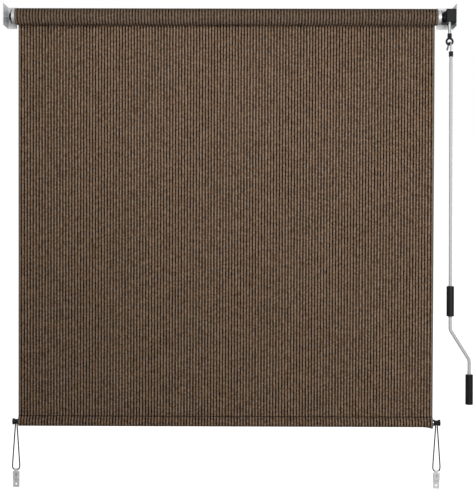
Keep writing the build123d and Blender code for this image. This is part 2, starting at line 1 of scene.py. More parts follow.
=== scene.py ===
"""Outdoor roller shade: knitted cloth on a roller, with wall brackets, a crank gearbox and tie-down cords."""
from math import cos, pi, radians, sin

import bpy
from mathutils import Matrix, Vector


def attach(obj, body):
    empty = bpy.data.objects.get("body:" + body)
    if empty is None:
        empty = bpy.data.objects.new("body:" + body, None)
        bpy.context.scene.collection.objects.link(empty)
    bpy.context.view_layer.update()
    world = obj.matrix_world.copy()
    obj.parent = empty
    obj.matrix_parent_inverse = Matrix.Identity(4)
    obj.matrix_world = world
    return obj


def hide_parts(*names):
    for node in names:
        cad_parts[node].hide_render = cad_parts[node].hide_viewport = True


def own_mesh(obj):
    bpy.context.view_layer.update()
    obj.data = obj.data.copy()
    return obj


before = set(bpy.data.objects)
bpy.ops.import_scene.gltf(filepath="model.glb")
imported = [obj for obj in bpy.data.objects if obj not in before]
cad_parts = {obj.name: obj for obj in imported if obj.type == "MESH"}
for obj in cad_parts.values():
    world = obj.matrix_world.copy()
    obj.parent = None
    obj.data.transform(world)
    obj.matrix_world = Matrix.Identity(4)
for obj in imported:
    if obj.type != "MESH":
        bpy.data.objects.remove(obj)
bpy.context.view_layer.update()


# Wall brackets
# Two folded angles of hot-dip galvanised sheet, screwed to the wall through the back plate. The zinc freezes
# into faint crystals, so the grey is a little patchy and its gloss is broken up.
def linear(code):
    """The scene-linear colour of an sRGB hex code."""
    parts = [int(code[start:start + 2], 16) / 255 for start in (1, 3, 5)]
    return tuple(c / 12.92 if c <= 0.04045 else ((c + 0.055) / 1.055) ** 2.4 for c in parts) + (1.0,)


def add_node(tree, kind, inputs=None, **settings):
    """A new node with its settings. Inputs are values, or the sockets that feed it, by name or number."""
    node = tree.nodes.new(kind)
    for name, value in settings.items():
        setattr(node, name, value)
    for key, value in (inputs or {}).items():
        if isinstance(value, bpy.types.NodeSocket):
            tree.links.new(value, node.inputs[key])
        else:
            node.inputs[key].default_value = value
    return node


def new_finish(name, **values):
    """A material with one Principled shader, its plain values set on the shader's own sockets."""
    finish = bpy.data.materials.new(name)
    finish.use_nodes = True
    shader = finish.node_tree.nodes["Principled BSDF"]
    for socket, value in values.items():
        shader.inputs[socket.replace("_", " ")].default_value = value
    return finish, finish.node_tree, shader


def vary_finish(tree, shader, pattern, tones, roughness):
    """Lets a pattern run the colour from its first tone to its second, and the roughness likewise."""
    first, second = [linear(tone) for tone in tones]
    colour = add_node(tree, "ShaderNodeMix", {0: pattern, 6: first, 7: second}, data_type="RGBA")
    tree.links.new(colour.outputs[2], shader.inputs["Base Color"])
    span = {"Value": pattern, "To Min": roughness[0], "To Max": roughness[1]}
    gloss = add_node(tree, "ShaderNodeMapRange", span)
    tree.links.new(gloss.outputs[0], shader.inputs["Roughness"])


def spangled_zinc(name, crystal_width, tones, roughness):
    """Galvanised sheet. Each crystal has its own tone and gloss, and a dull skin hides part of the metal."""
    finish, tree, shader = new_finish(name, Metallic=0.35, IOR=1.5)
    place = add_node(tree, "ShaderNodeTexCoord").outputs["Object"]
    crystals = add_node(
        tree, "ShaderNodeTexVoronoi", {"Vector": place, "Scale": 1 / crystal_width}, feature="SMOOTH_F1"
    )
    spangle = add_node(tree, "ShaderNodeSeparateColor", {"Color": crystals.outputs["Color"]})
    vary_finish(tree, shader, spangle.outputs[0], tones, roughness)
    return finish


def coat_nodes(finish, *names):
    """Gives CAD nodes a finish."""
    for name in names:
        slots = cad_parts[name].data.materials
        slots.clear()
        slots.append(finish)


bracket_crystal = 0.007
bracket_tones = "#BDBEBF", "#D8D9DA"
bracket_roughness = 0.36, 0.5
galvanised = spangled_zinc("hot_dip_galvanised_sheet", bracket_crystal, bracket_tones, bracket_roughness)
coat_nodes(galvanised, "bracket_left", "bracket_right")


# Roller tube
# A rolled steel tube with a satin zinc skin that carries the wound shade. Only its two ends show, with faint
# streaks along them.
def grained_finish(name, grain, tones, roughness, detail=2.0, bump=None, **values):
    """A finish varied by noise. Grain is its size along x, y and z, and bump a finer size and a strength."""
    finish, tree, shader = new_finish(name, **values)
    place = add_node(tree, "ShaderNodeTexCoord").outputs["Object"]
    sized = add_node(tree, "ShaderNodeMapping", {"Vector": place, "Scale": [1 / size for size in grain]})
    noise = add_node(tree, "ShaderNodeTexNoise", {"Vector": sized.outputs[0], "Scale": 1.0, "Detail": detail})
    vary_finish(tree, shader, noise.outputs[0], tones, roughness)
    if bump:
        bump_size, strength = bump
        bump_height = 0.0002
        rough = add_node(tree, "ShaderNodeTexNoise", {"Vector": place, "Scale": 1 / bump_size, "Detail": 1.0})
        relief = {"Height": rough.outputs[0], "Strength": strength, "Distance": bump_height}
        tree.links.new(add_node(tree, "ShaderNodeBump", relief).outputs[0], shader.inputs["Normal"])
    return finish


streak_length = 0.075
streak_width = 0.0015
tube_tones = "#C9CACB", "#DADBDC"
tube_roughness = 0.48, 0.6
satin_tube = grained_finish(
    "satin_galvanised_tube", (streak_length, streak_width, streak_width), tube_tones, tube_roughness,
    Metallic=0.7,
)
coat_nodes(satin_tube, "roller_tube")


# Gearbox, end plugs, eye, collar and hem caps
# Glass-filled nylon, injection moulded in black. The mould is spark-eroded, so the gloss is dull and very
# fine grained.
nylon_cloud = 1 / 60
nylon_tones = "#0B0B0C", "#1C1D1E"
nylon_roughness = 0.45, 0.62
spark_grain = 0.0006
black_nylon = grained_finish(
    "moulded_black_nylon", (nylon_cloud, nylon_cloud, nylon_cloud), nylon_tones, nylon_roughness,
    detail=3.0, bump=(spark_grain, 0.25), IOR=1.53, Specular_IOR_Level=0.17,
)
coat_nodes(
    black_nylon, "gearbox_inner", "gearbox_outer", "idler_plug", "drive_plug", "crank_eye", "crank_collar",
    "hem_cap_left", "hem_cap_right",
)


# Shafts, pins, screws and hook
# Turned and bent steel with a clear zinc plating, which keeps a soft silver gloss with a faint grain.
plating_grain = 0.0008
plating_tones = "#8E9093", "#B9BBBD"
plating_roughness = 0.24, 0.42
zinc_plate = grained_finish(
    "zinc_plated_steel", (plating_grain, plating_grain, plating_grain), plating_tones, plating_roughness,
    Metallic=0.85,
)
coat_nodes(zinc_plate, "idler_pin", "gearbox_screws", "drive_shaft", "worm_shaft", "eye_pin", "crank_hook")


# Worm wheel
# A wheel of natural acetal, moulded, inside the gearbox and out of sight. It is milky, with a soft gloss.
acetal_cloud = 1 / 90
acetal_tones = "#D8D4C8", "#E6E3DA"
acetal_roughness = 0.3, 0.42
acetal = grained_finish(
    "moulded_natural_acetal", (acetal_cloud, acetal_cloud, acetal_cloud), acetal_tones, acetal_roughness,
    IOR=1.48,
)
coat_nodes(acetal, "worm_wheel")


# Crank rod
# A bent steel tube with a light grey powder coat, which has a fine orange-peel surface. Two crimps below the
# collar hold the hook's leg.
peel = 0.0025
powder_tones = "#BFC0C1", "#C9CACB"
powder_roughness = 0.32, 0.45
powder_coat = grained_finish(
    "grey_powder_coat", (peel, peel, peel), powder_tones, powder_roughness,
    detail=1.0, bump=(peel, 0.2), IOR=1.5,
)
coat_nodes(powder_coat, "crank_rod")


# Crank grips
# Loose sleeves of black polypropylene that turn on the rod. They are moulded, and satin where hands have
# rubbed them.
rubbed_patch = 1 / 45
grip_tones = "#0B0B0C", "#1A1B1C"
grip_roughness = 0.34, 0.5
grip_grain = 0.0008
grip_plastic = grained_finish(
    "satin_black_polypropylene", (rubbed_patch, rubbed_patch, rubbed_patch), grip_tones, grip_roughness,
    detail=3.0, bump=(grip_grain, 0.2), IOR=1.49, Specular_IOR_Level=0.2,
)
coat_nodes(grip_plastic, "upper_grip", "lower_grip")


# Shade cloth
# Knitted from polyethylene tape and thread: vertical ribs 10 mm apart on both faces, lighter on the rib than
# in the groove between, with uneven loops. It is one cloth, wound on the roller, hung as the panel and sewn
# round the hem bar.
cloth_width = 1.4
rib_pitch = 0.010
cloth_thickness = 0.0012
groove_depth = 0.00035
panel_y = -0.0158
seam_z = -1.342


def knit_finish(name, rib_tones, groove_tones, seams=()):
    """A knitted cloth. Tones run from darker to lighter loops, and seams are places along the cloth where
    shade is painted in the crease.
    """
    finish, tree, shader = new_finish(name, IOR=1.5, Specular_IOR_Level=0.03)
    cloth = add_node(tree, "ShaderNodeUVMap", uv_map="cloth").outputs[0]
    cloth_parts = add_node(tree, "ShaderNodeSeparateXYZ", {0: cloth})
    across = cloth_parts.outputs[0]
    along = cloth_parts.outputs[1]
    rib_places = add_node(tree, "ShaderNodeMath", {0: across, 1: 1 / rib_pitch}, operation="MULTIPLY")

    # The ribs are straight, and wander by up to a tenth of their spacing over 60 mm of length
    wander_length = 0.06
    wander_width = 2 * rib_pitch
    wander_reach = 0.09
    wander_scale = (1 / wander_width, 1 / wander_length, 1.0)
    wander_at = add_node(tree, "ShaderNodeMapping", {"Vector": cloth, "Scale": wander_scale})
    wander = add_node(
        tree, "ShaderNodeTexNoise", {"Vector": wander_at.outputs[0], "Scale": 1.0}, noise_dimensions="2D"
    )
    wander_step = add_node(
        tree, "ShaderNodeMapRange",
        {"Value": wander.outputs[0], "To Min": -wander_reach, "To Max": wander_reach},
    )
    rib_at = add_node(
        tree, "ShaderNodeMath", {0: rib_places.outputs[0], 1: wander_step.outputs[0]}, operation="ADD"
    )
    rib_phase = add_node(tree, "ShaderNodeMath", {0: rib_at.outputs[0]}, operation="FRACT")
    from_rib = add_node(tree, "ShaderNodeMath", {0: rib_phase.outputs[0], 1: 0.5}, operation="SUBTRACT")
    off_rib = add_node(tree, "ShaderNodeMath", {0: from_rib.outputs[0]}, operation="ABSOLUTE")

    # Loops differ along each rib over about 7 mm, and along each groove over about 6.5 mm. The stride sets
    # neighbours apart in the noise, and its part from lowest to highest gives the range of tones.
    tones = []
    for counting, loop_length, stride, lowest, highest, (darker, lighter) in (
        ("FLOOR", 0.007, 5.17, 0.36, 0.64, rib_tones), ("ROUND", 0.0065, 7.31, 0.44, 0.6, groove_tones),
    ):
        number = add_node(tree, "ShaderNodeMath", {0: rib_at.outputs[0]}, operation=counting)
        apart = add_node(tree, "ShaderNodeMath", {0: number.outputs[0], 1: stride}, operation="MULTIPLY")
        row = add_node(tree, "ShaderNodeMath", {0: along, 1: 1 / loop_length}, operation="MULTIPLY")
        spot = add_node(tree, "ShaderNodeCombineXYZ", {0: apart.outputs[0], 1: row.outputs[0], 2: stride})
        loops = add_node(
            tree, "ShaderNodeTexNoise", {"Vector": spot.outputs[0], "Scale": 1.0, "Detail": 2.5}
        )
        share = add_node(
            tree, "ShaderNodeMapRange", {"Value": loops.outputs[0], "From Min": lowest, "From Max": highest}
        )
        tone = add_node(
            tree, "ShaderNodeMix", {0: share.outputs[0], 6: linear(darker), 7: linear(lighter)},
            data_type="RGBA",
        )
        tones.append(tone.outputs[2])

    # The rib's crown ends and its groove begins at these shares of the spacing, from the rib's middle
    crown_end = 0.11
    groove_start = 0.36
    on_rib = add_node(
        tree, "ShaderNodeMapRange",
        {"Value": off_rib.outputs[0], "From Min": crown_end, "From Max": groove_start,
         "To Min": 1.0, "To Max": 0.0},
        interpolation_type="SMOOTHSTEP",
    )
    knit_tone = add_node(
        tree, "ShaderNodeMix", {0: on_rib.outputs[0], 6: tones[1], 7: tones[0]}, data_type="RGBA"
    )

    # A grey knitted selvedge, 5 mm wide, along both side edges
    selvedge_width = 0.005
    selvedge_grey = "#6E665D"
    selvedge_start = cloth_width / 2 - selvedge_width
    from_middle = add_node(tree, "ShaderNodeMath", {0: across}, operation="ABSOLUTE")
    selvedge = add_node(
        tree, "ShaderNodeMath", {0: from_middle.outputs[0], 1: selvedge_start}, operation="GREATER_THAN"
    )
    edged_tone = add_node(
        tree, "ShaderNodeMix", {0: selvedge.outputs[0], 6: knit_tone.outputs[2], 7: linear(selvedge_grey)},
        data_type="RGBA",
    )

    # A seam draws the cloth in, and shade is painted in its crease: the colour is darkened for 3 mm to both
    # sides
    painted_shade_width = 0.003
    painted_shade_level = 0.35
    shaded_tone = edged_tone.outputs[2]
    for seam in seams:
        off_seam = add_node(tree, "ShaderNodeMath", {0: along, 1: seam}, operation="SUBTRACT")
        from_seam = add_node(tree, "ShaderNodeMath", {0: off_seam.outputs[0]}, operation="ABSOLUTE")
        seam_shade = add_node(
            tree, "ShaderNodeMapRange",
            {"Value": from_seam.outputs[0], "From Max": painted_shade_width, "To Min": painted_shade_level},
        )
        darkened = add_node(
            tree, "ShaderNodeMix", {0: 1.0, 6: shaded_tone, 7: seam_shade.outputs[0]},
            data_type="RGBA", blend_type="MULTIPLY",
        )
        shaded_tone = darkened.outputs[2]
    tree.links.new(shaded_tone, shader.inputs["Base Color"])
    groove_roughness = 0.85
    rib_roughness = 0.62
    gloss = add_node(
        tree, "ShaderNodeMapRange",
        {"Value": on_rib.outputs[0], "To Min": groove_roughness, "To Max": rib_roughness},
    )
    tree.links.new(gloss.outputs[0], shader.inputs["Roughness"])

    # The loops stand up in rows about 3 mm apart, and lean like chevrons to both sides of a rib
    loop_pitch = 0.003
    loop_height = 0.0003
    chevron = 9.0
    loop_rows = add_node(tree, "ShaderNodeMath", {0: along, 1: 2 * pi / loop_pitch}, operation="MULTIPLY")
    loop_lean = add_node(
        tree, "ShaderNodeMath", {0: off_rib.outputs[0], 1: chevron, 2: loop_rows.outputs[0]},
        operation="MULTIPLY_ADD",
    )
    loop_wave = add_node(tree, "ShaderNodeMath", {0: loop_lean.outputs[0]}, operation="SINE")
    loop_bump = add_node(
        tree, "ShaderNodeBump", {"Height": loop_wave.outputs[0], "Strength": 0.5, "Distance": loop_height}
    )
    tree.links.new(loop_bump.outputs[0], shader.inputs["Normal"])
    return finish


hung_tones = ("#746353", "#9B8978"), ("#1A0500", "#533518")
# On the roll the ribs are painted darker and the grooves greyer than on the hung cloth: painted shade for the
# roll's curve, and painted sheen where the cloth is seen at a grazing angle.
wound_shade_and_sheen_tones = ("#6B5B4D", "#857566"), ("#2A1A0F", "#4D3C2E")
# The hung panel gets painted shade in the crease at its lower end, along the seam
knit = knit_finish("knitted_polyethylene_shade_cloth", *hung_tones, seams=[-seam_z])
wound_painted_knit = knit_finish("knitted_polyethylene_wound_painted_shade_and_sheen", *wound_shade_and_sheen_tones)


def ribbed_cloth_tree():
    """Geometry nodes that lay a ribbed cloth with two faces along a path, a curve in the plane across X."""
    tree = bpy.data.node_groups.new("ribbed_cloth", "GeometryNodeTree")
    sockets = {}
    for name, kind in (
        ("Path", "NodeSocketGeometry"), ("Width", "NodeSocketFloat"), ("Rib Pitch", "NodeSocketFloat"),
        ("Groove Depth", "NodeSocketFloat"), ("Thickness", "NodeSocketFloat"), ("Rows", "NodeSocketInt"),
        ("Columns Per Rib", "NodeSocketInt"), ("Top Stretch", "NodeSocketFloat"),
        ("Bottom Stretch", "NodeSocketFloat"), ("Unevenness", "NodeSocketFloat"),
        ("Finish", "NodeSocketMaterial"),
    ):
        sockets[name] = tree.interface.new_socket(name, in_out="INPUT", socket_type=kind).identifier
    tree.interface.new_socket("Cloth", in_out="OUTPUT", socket_type="NodeSocketGeometry")
    given = add_node(tree, "NodeGroupInput").outputs
    ribs = add_node(tree, "ShaderNodeMath", {0: given["Width"], 1: given["Rib Pitch"]}, operation="DIVIDE")
    columns = add_node(
        tree, "ShaderNodeMath", {0: ribs.outputs[0], 1: given["Columns Per Rib"], 2: 1.0},
        operation="MULTIPLY_ADD",
    )
    whole_columns = add_node(tree, "FunctionNodeFloatToInt", {0: columns.outputs[0]}, rounding_mode="ROUND")
    flat = add_node(
        tree, "GeometryNodeMeshGrid",
        {"Size X": given["Width"], "Size Y": 1.0, "Vertices X": whole_columns.outputs[0],
         "Vertices Y": given["Rows"]},
    )
    position = add_node(tree, "GeometryNodeInputPosition")
    place = add_node(tree, "ShaderNodeSeparateXYZ", {0: position.outputs[0]})
    across = place.outputs[0]
    along = add_node(tree, "ShaderNodeMath", {0: place.outputs[1], 1: 0.5}, operation="ADD")
    length = add_node(tree, "GeometryNodeCurveLength", {0: given["Path"]})
    run = add_node(tree, "ShaderNodeMath", {0: along.outputs[0], 1: length.outputs[0]}, operation="MULTIPLY")
    cloth_place = add_node(tree, "ShaderNodeCombineXYZ", {0: across, 1: run.outputs[0]})
    marked = add_node(
        tree, "GeometryNodeStoreNamedAttribute",
        {"Geometry": flat.outputs[0], "Name": "cloth", "Value": cloth_place.outputs[0]},
        data_type="FLOAT2", domain="CORNER",
    )
    path = add_node(
        tree, "GeometryNodeSampleCurve", {"Curves": given["Path"], "Factor": along.outputs[0]}, mode="FACTOR"
    )
    facing = add_node(
        tree, "ShaderNodeVectorMath", {0: path.outputs["Tangent"], 1: (1.0, 0.0, 0.0)},
        operation="CROSS_PRODUCT",
    )

    # Half the wall: full on a rib, less in a groove, nothing at the cloth's edges, where both faces meet
    rib_squareness = 4.0
    edge_share = 0.4999
    rib_place = add_node(tree, "ShaderNodeMath", {0: across, 1: given["Rib Pitch"]}, operation="DIVIDE")
    phase = add_node(tree, "ShaderNodeMath", {0: rib_place.outputs[0]}, operation="FRACT")
    off_middle = add_node(
        tree, "ShaderNodeMath", {0: phase.outputs[0], 1: 2.0, 2: -1.0}, operation="MULTIPLY_ADD"
    )
    steep = add_node(tree, "ShaderNodeMath", {0: off_middle.outputs[0], 1: rib_squareness}, operation="POWER")
    sunk = add_node(
        tree, "ShaderNodeMath", {0: steep.outputs[0], 1: given["Groove Depth"]}, operation="MULTIPLY"
    )
    half_wall = add_node(tree, "ShaderNodeMath", {0: given["Thickness"], 1: 0.5}, operation="MULTIPLY")
    ribbed = add_node(
        tree, "ShaderNodeMath", {0: half_wall.outputs[0], 1: sunk.outputs[0]}, operation="SUBTRACT"
    )
    half_width = add_node(tree, "ShaderNodeMath", {0: given["Width"], 1: edge_share}, operation="MULTIPLY")
    from_middle = add_node(tree, "ShaderNodeMath", {0: across}, operation="ABSOLUTE")
    inside = add_node(
        tree, "ShaderNodeMath", {0: from_middle.outputs[0], 1: half_width.outputs[0]}, operation="LESS_THAN"
    )
    from_centre = add_node(tree, "ShaderNodeMath", {0: place.outputs[1]}, operation="ABSOLUTE")
    between = add_node(
        tree, "ShaderNodeMath", {0: from_centre.outputs[0], 1: edge_share}, operation="LESS_THAN"
    )
    open_wall = add_node(
        tree, "ShaderNodeMath", {0: inside.outputs[0], 1: between.outputs[0]}, operation="MULTIPLY"
    )
    wall = add_node(
        tree, "ShaderNodeMath", {0: ribbed.outputs[0], 1: open_wall.outputs[0]}, operation="MULTIPLY"
    )

    # The cloth draws in towards its lower end, and swells a little over 200 mm, so it is never quite flat
    swell_width = 0.2
    stretch = add_node(
        tree, "ShaderNodeMapRange",
        {"Value": along.outputs[0], "To Min": given["Top Stretch"], "To Max": given["Bottom Stretch"]},
    )
    drawn_x = add_node(tree, "ShaderNodeMath", {0: across, 1: stretch.outputs[0]}, operation="MULTIPLY")
    sideways = add_node(tree, "ShaderNodeCombineXYZ", {0: drawn_x.outputs[0]})
    middle = add_node(
        tree, "ShaderNodeVectorMath", {0: path.outputs["Position"], 1: sideways.outputs[0]}, operation="ADD"
    )
    swell = add_node(
        tree, "ShaderNodeTexNoise",
        {"Vector": cloth_place.outputs[0], "Scale": 1 / swell_width, "Detail": 1.0},
    )
    swell_step = add_node(tree, "ShaderNodeMath", {0: swell.outputs[0], 1: 0.5}, operation="SUBTRACT")
    swelling = add_node(
        tree, "ShaderNodeMath", {0: swell_step.outputs[0], 1: given["Unevenness"]}, operation="MULTIPLY"
    )
    faces = []
    for side in (1.0, -1.0):
        reach = add_node(
            tree, "ShaderNodeMath", {0: wall.outputs[0], 1: side, 2: swelling.outputs[0]},
            operation="MULTIPLY_ADD",
        )
        step = add_node(
            tree, "ShaderNodeVectorMath", {0: facing.outputs[0], "Scale": reach.outputs[0]}, operation="SCALE"
        )
        spot = add_node(
            tree, "ShaderNodeVectorMath", {0: middle.outputs[0], 1: step.outputs[0]}, operation="ADD"
        )
        face = add_node(
            tree, "GeometryNodeSetPosition", {"Geometry": marked.outputs[0], "Position": spot.outputs[0]}
        )
        faces.append(face)
    turned = add_node(tree, "GeometryNodeFlipFaces", {0: faces[0].outputs[0]})
    both = add_node(tree, "GeometryNodeJoinGeometry", {0: turned.outputs[0]})
    tree.links.new(faces[1].outputs[0], both.inputs[0])

    # The faces are welded along their edges, and shaded smooth except across sharp folds
    weld_distance = 0.00001
    sharp_fold = radians(60)
    closed = add_node(
        tree, "GeometryNodeMergeByDistance", {"Geometry": both.outputs[0], "Distance": weld_distance}
    )
    smooth = add_node(tree, "GeometryNodeSetShadeSmooth", {0: closed.outputs[0]})
    fold = add_node(tree, "GeometryNodeInputMeshEdgeAngle").outputs["Unsigned Angle"]
    sharp = add_node(tree, "ShaderNodeMath", {0: fold, 1: sharp_fold}, operation="GREATER_THAN")
    edged = add_node(
        tree, "GeometryNodeSetShadeSmooth",
        {"Geometry": smooth.outputs[0], "Selection": sharp.outputs[0], "Shade Smooth": False}, domain="EDGE",
    )
    real = add_node(tree, "GeometryNodeRealizeInstances", {0: edged.outputs[0]})
    dressed = add_node(
        tree, "GeometryNodeSetMaterial", {"Geometry": real.outputs[0], "Material": given["Finish"]}
    )
    add_node(tree, "NodeGroupOutput", {0: dressed.outputs[0]})
    return tree, sockets


cloth_tree, cloth_sockets = ribbed_cloth_tree()


def grow(name, holder, tree, sockets, values):
    """The plain mesh that a geometry nodes tree makes from a holder object, as a new piece."""
    bpy.context.scene.collection.objects.link(holder)
    grower = holder.modifiers.new("grow", "NODES")
    grower.node_group = tree
    for socket, value in values.items():
        grower[sockets[socket]] = value
    depsgraph = bpy.context.evaluated_depsgraph_get()
    mesh = bpy.data.meshes.new_from_object(holder.evaluated_get(depsgraph), depsgraph=depsgraph)
    holder.modifiers.clear()
    bpy.data.objects.remove(holder)
    piece = bpy.data.objects.new(name, mesh)
    bpy.context.scene.collection.objects.link(piece)
    return piece


def lay_cloth(name, path, rows, columns, stretch, finish=knit, unevenness=0.0):
    """A ribbed cloth along a path of (y, z) points, with its stretch across at the path's start and end."""
    line = bpy.data.curves.new(name + "_path", "CURVE")
    line.dimensions = "3D"
    spline = line.splines.new("POLY")
    spline.points.add(len(path) - 1)
    for point, (y, z) in zip(spline.points, path):
        point.co = (0.0, y, z, 1.0)
    values = {
        "Width": cloth_width, "Rib Pitch": rib_pitch, "Groove Depth": groove_depth,
        "Thickness": cloth_thickness, "Rows": rows, "Columns Per Rib": columns, "Top Stretch": stretch[0],
        "Bottom Stretch": stretch[1], "Unevenness": unevenness, "Finish": finish,
    }
    return grow(name, bpy.data.objects.new(name + "_path", line), cloth_tree, cloth_sockets, values)


# Wound turns of the shade
# The cloth goes up behind the roller, over the top, down in front and on round, nearly three turns and a half
# to the tube, so its edge shows a step.
axis_y = -0.042
tube_radius = 0.023
outer_turn = 0.0279
turn_rise = 0.00125
steps_per_turn = 36
wound_stretch = 1.0085


def spiral(first_turn, last_turn):
    """Points (y, z) on the winding, counted in turns from the outer end at the back."""
    points = []
    for step in range(round(first_turn * steps_per_turn), round(last_turn * steps_per_turn) + 1):
        turn = step / steps_per_turn
        radius = outer_turn - turn_rise * turn
        points.append((axis_y + radius * cos(2 * pi * turn), radius * sin(2 * pi * turn)))
    return points


shown_turns = 1.25
all_turns = (outer_turn - tube_radius - cloth_thickness / 2) / turn_rise
for name, under, first_turn, last_turn, columns in (
    ("inner_turns", "roller_tube", shown_turns, all_turns, 1),
    ("wound_shade", "inner_turns", 0.0, shown_turns, 4),
):
    winding = spiral(first_turn, last_turn)
    # The wound turns wear the finish with painted shade and sheen
    wound = lay_cloth(name, winding, len(winding), columns, (wound_stretch, wound_stretch), wound_painted_knit)
    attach(wound, "roller")
    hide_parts("fabric_roll")


# Hanging panel
# The free part of the shade, which laps over the outer turn, hangs behind the roller and shortens as it winds
# up. The hem bar keeps it taut.
top_stretch = 1.0046
bottom_stretch = 0.9980
lap = 0.0017
panel_unevenness = 0.0014
hang = [(axis_y + outer_turn + lap, 0.0), (panel_y, seam_z)]
panel = lay_cloth(
    "shade_panel", hang, rows=56, columns=6, stretch=(top_stretch, bottom_stretch),
    unevenness=panel_unevenness,
)
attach(panel, "frame")
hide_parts("fabric_panel")
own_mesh(panel)


# Hem pocket
# The cloth's lower end is folded round the bar and sewn to itself, which makes a fat round edge with a seam
# above it, dark from its brown thread and from shade painted in the crease.
bar_z = -1.361
pocket_radius = 0.0122
pocket_slack = 0.0024
pocket_steps = 36
shoulder = radians(31.4)
pocket = [(panel_y - cloth_thickness / 2, seam_z)]
for step in range(pocket_steps + 1):
    angle = pi - shoulder + step * (pi + 2 * shoulder) / pocket_steps
    drop = pocket_slack * max(0.0, -sin(angle))
    pocket.append((panel_y + pocket_radius * cos(angle), bar_z + pocket_radius * sin(angle) - drop))
pocket.append((panel_y + cloth_thickness / 2, seam_z))
pocket_length = sum((Vector(ahead) - Vector(here)).length for here, ahead in zip(pocket, pocket[1:]))
# Shade is painted in the crease at both ends of the pocket, where they meet the seam
hem_knit = knit_finish("knitted_polyethylene_sewn_hem", *hung_tones, seams=[0.0, pocket_length])
hem = lay_cloth(
    "shade_hem", pocket, rows=49, columns=4, stretch=(bottom_stretch, bottom_stretch), finish=hem_knit
)

# The loose corner at the right end droops below the bar
droop_start = 0.66
droop = 0.005
for vertex in hem.data.vertices:
    past = max(0.0, vertex.co.x - droop_start) / (cloth_width / 2 - droop_start)
    hang_share = max(0.0, bar_z - vertex.co.z) / pocket_radius
    vertex.co.z -= droop * past**2 * hang_share
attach(hem, "hem")
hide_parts("fabric_hem")


# Hem stitches
# A lockstitch in dark brown thread sews the pocket shut just below the seam, and shows alike on both faces.
# Each stitch is tilted a little for itself.
stitch_pitch = 0.005
stitch_length = 0.0042
stitch_drop = 0.0006
stitch_tilt = 6
stitch_seed = 4
stitch_sides = 6
thread_thickness = 0.0014
thread_stand = 0.4
thread_twist = 0.0012
seam_inset = 0.004
thread_tones = "#120A05", "#2B1D11"
thread_roughness = 0.7, 0.5

# At scale 1 the bands of a wave texture are about this far apart
wave_unit = 2 * pi / 20
thread, tree, shader = new_finish("brown_polyester_thread", IOR=1.5, Specular_IOR_Level=0.25)
place = add_node(tree, "ShaderNodeTexCoord").outputs["Object"]
twist = add_node(
    tree, "ShaderNodeTexWave", {"Vector": place, "Scale": wave_unit / thread_twist},
    bands_direction="DIAGONAL",
)
vary_finish(tree, shader, twist.outputs[1], thread_tones, thread_roughness)


def stitch_row_tree():
    """Geometry nodes that lay a row of stitches along X."""
    tree = bpy.data.node_groups.new("stitch_row", "GeometryNodeTree")
    sockets = {}
    for name, kind in (
        ("Holder", "NodeSocketGeometry"), ("Count", "NodeSocketInt"), ("Start", "NodeSocketVector"),
        ("Pitch", "NodeSocketFloat"), ("Length", "NodeSocketFloat"), ("Thickness", "NodeSocketFloat"),
        ("Finish", "NodeSocketMaterial"),
    ):
        sockets[name] = tree.interface.new_socket(name, in_out="INPUT", socket_type=kind).identifier
    tree.interface.new_socket("Stitches", in_out="OUTPUT", socket_type="NodeSocketGeometry")
    given = add_node(tree, "NodeGroupInput").outputs
    step = add_node(tree, "ShaderNodeCombineXYZ", {0: given["Pitch"]})
    row = add_node(
        tree, "GeometryNodeMeshLine",
        {"Count": given["Count"], "Start Location": given["Start"], "Offset": step.outputs[0]}, mode="OFFSET",
    )
    radius = add_node(tree, "ShaderNodeMath", {0: given["Thickness"], 1: 0.5}, operation="MULTIPLY")
    stitch = add_node(
        tree, "GeometryNodeMeshCylinder",
        {"Vertices": stitch_sides, "Radius": radius.outputs[0], "Depth": given["Length"]},
        fill_type="TRIANGLE_FAN",
    )
    least = (0.0, radians(90 - stitch_tilt), 0.0)
    most = (0.0, radians(90 + stitch_tilt), 0.0)
    tilt = add_node(
        tree, "FunctionNodeRandomValue", {"Min": least, "Max": most, "Seed": stitch_seed},
        data_type="FLOAT_VECTOR",
    )
    laid = add_node(
        tree, "GeometryNodeInstanceOnPoints",
        {"Points": row.outputs[0], "Instance": stitch.outputs[0], "Rotation": tilt.outputs[0]},
    )
    real = add_node(tree, "GeometryNodeRealizeInstances", {0: laid.outputs[0]})
    dressed = add_node(
        tree, "GeometryNodeSetMaterial", {"Geometry": real.outputs[0], "Material": given["Finish"]}
    )
    add_node(tree, "NodeGroupOutput", {0: dressed.outputs[0]})
    return tree, sockets


stitch_tree, stitch_sockets = stitch_row_tree()
stitched_width = cloth_width * bottom_stretch - 2 * seam_inset
stitch_count = int(stitched_width / stitch_pitch) + 1
for face, side in (("front", -1), ("back", 1)):
    row_y = panel_y + side * (cloth_thickness + thread_stand * thread_thickness)
    values = {
        "Count": stitch_count, "Start": (-stitched_width / 2, row_y, seam_z - stitch_drop),
        "Pitch": stitch_pitch, "Length": stitch_length, "Thickness": thread_thickness, "Finish": thread,
    }
    holder = bpy.data.objects.new("stitch_holder", bpy.data.meshes.new("stitch_holder"))
    stitches = grow("hem_stitches_" + face, holder, stitch_tree, stitch_sockets, values)
    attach(stitches, "hem")


# Hem bar
# A drawn aluminium tube inside the hem, which shows only at its two ends, with drawing lines along it.
drawn_length = 0.125
drawn_width = 1 / 900
bar_tones = "#B4B5B7", "#D5D6D8"
bar_roughness = 0.25, 0.4
mill_aluminium = grained_finish(
    "mill_finish_aluminium", (drawn_length, drawn_width, drawn_width), bar_tones, bar_roughness,
    Metallic=1.0,
)
coat_nodes(mill_aluminium, "hem_bar")


